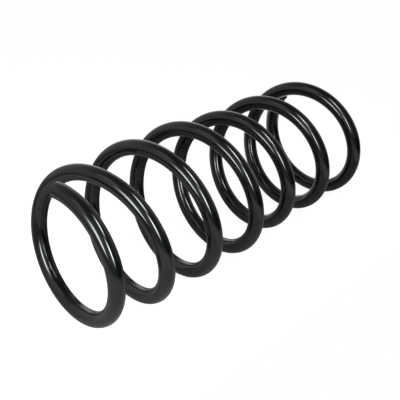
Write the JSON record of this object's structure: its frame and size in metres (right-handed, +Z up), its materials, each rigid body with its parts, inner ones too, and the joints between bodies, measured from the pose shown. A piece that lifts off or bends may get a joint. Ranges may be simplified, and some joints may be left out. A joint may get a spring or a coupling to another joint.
{
  "type": "suspension spring",
  "caption": "Open-ended coil spring of round gloss-black steel bar, stepping from wide turns to narrower ones, that carries the load of a vehicle's suspension.",
  "frame": {"origin": "on the floor, under the middle of the coil's length", "axes": "+X along the coil's axis from the wide end to the narrow end, +Z up; the spring lies on its side"},
  "size_m": [0.3054, 0.1215, 0.1216],
  "materials": {
    "gloss_black_coat": "gloss"
  },
  "bodies": {
    "root": {"coil_spring": "gloss_black_coat"}
  },
  "joints": []
}
